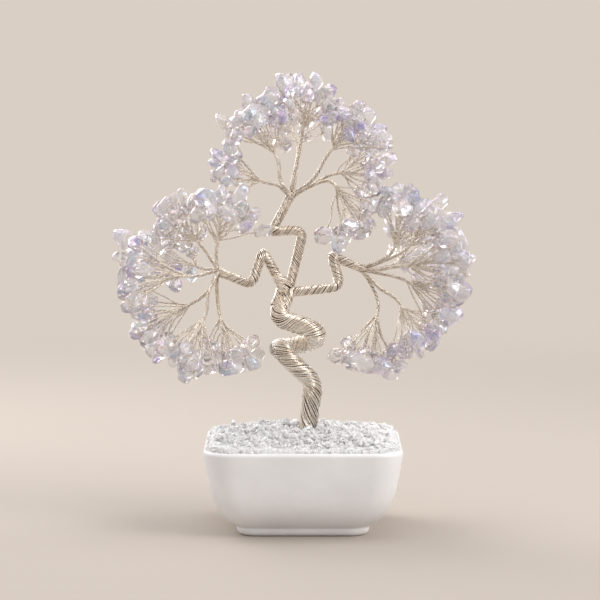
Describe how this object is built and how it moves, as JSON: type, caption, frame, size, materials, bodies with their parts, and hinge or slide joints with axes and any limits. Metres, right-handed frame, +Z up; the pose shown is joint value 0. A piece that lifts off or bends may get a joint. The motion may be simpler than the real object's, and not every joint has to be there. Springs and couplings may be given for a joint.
{
  "type": "gemstone tree ornament",
  "caption": "Ornamental tree of twisted wire with curling trunk and three bendable limbs carrying tumbled opalite chips, set in crystal gravel in a square white ceramic pot.",
  "frame": {"origin": "centre of the pot's flat underside, on the table", "axes": "+Z up; +X to the right and -Y towards the viewer of the picture; the canopy spreads along X and is shallow along Y"},
  "size_m": [0.1564, 0.0846, 0.1964],
  "materials": {
    "silver_wire": "bright soft craft wire, twisted",
    "opalite": "polished milky opalite",
    "clear_quartz": "clear broken crystal",
    "white_ceramic": "satin white glaze",
    "plaster": "set plaster, hidden"
  },
  "bodies": {
    "base": {"ceramic_pot": "white_ceramic", "plaster_fill": "plaster", "crystal_gravel": "clear_quartz", "trunk_bundle": "silver_wire", "left_root": "silver_wire", "left_curl": "silver_wire", "right_root": "silver_wire", "right_curl": "silver_wire", "crown_root": "silver_wire", "crown_curl": "silver_wire"},
    "left_limb": {"left_arm": "silver_wire", "left_back_chips": "opalite", "left_back_wires": "silver_wire", "left_inner_chips": "opalite", "left_inner_wires": "silver_wire", "left_lower_chips": "opalite", "left_lower_outer_chips": "opalite", "left_lower_outer_wires": "silver_wire", "left_lower_wires": "silver_wire", "left_outer_chips": "opalite", "left_outer_wires": "silver_wire", "left_upper_chips": "opalite", "left_upper_outer_chips": "opalite", "left_upper_outer_wires": "silver_wire", "left_upper_wires": "silver_wire"},
    "right_limb": {"right_arm": "silver_wire", "right_back_chips": "opalite", "right_back_wires": "silver_wire", "right_inner_chips": "opalite", "right_inner_wires": "silver_wire", "right_lower_chips": "opalite", "right_lower_outer_chips": "opalite", "right_lower_outer_wires": "silver_wire", "right_lower_wires": "silver_wire", "right_outer_chips": "opalite", "right_outer_wires": "silver_wire", "right_upper_chips": "opalite", "right_upper_outer_chips": "opalite", "right_upper_outer_wires": "silver_wire", "right_upper_wires": "silver_wire"},
    "crown_limb": {"crown_arm": "silver_wire", "crown_back_chips": "opalite", "crown_back_wires": "silver_wire", "crown_left_chips": "opalite", "crown_left_wires": "silver_wire", "crown_lower_right_chips": "opalite", "crown_lower_right_wires": "silver_wire", "crown_right_chips": "opalite", "crown_right_wires": "silver_wire", "crown_top_chips": "opalite", "crown_top_wires": "silver_wire", "crown_upper_left_chips": "opalite", "crown_upper_left_wires": "silver_wire", "crown_upper_right_chips": "opalite", "crown_upper_right_wires": "silver_wire"}
  },
  "joints": [
    {"name": "left_bend", "type": "hinge", "parent": "base", "child": "left_limb", "pos_m": [-0.0172, -0.0036, 0.11862], "axis": [0, 1, 0], "range_deg": [-4, 3], "deforming": ["left_curl"]},
    {"name": "right_bend", "type": "hinge", "parent": "base", "child": "right_limb", "pos_m": [0.01256, 0.00016, 0.11718], "axis": [0, 1, 0], "range_deg": [-3, 6], "deforming": ["right_curl"]},
    {"name": "crown_bend", "type": "hinge", "parent": "base", "child": "crown_limb", "pos_m": [-0.01304, 0.0008, 0.12798], "axis": [1, 0, 0], "range_deg": [-4, 4], "deforming": ["crown_curl"]}
  ]
}
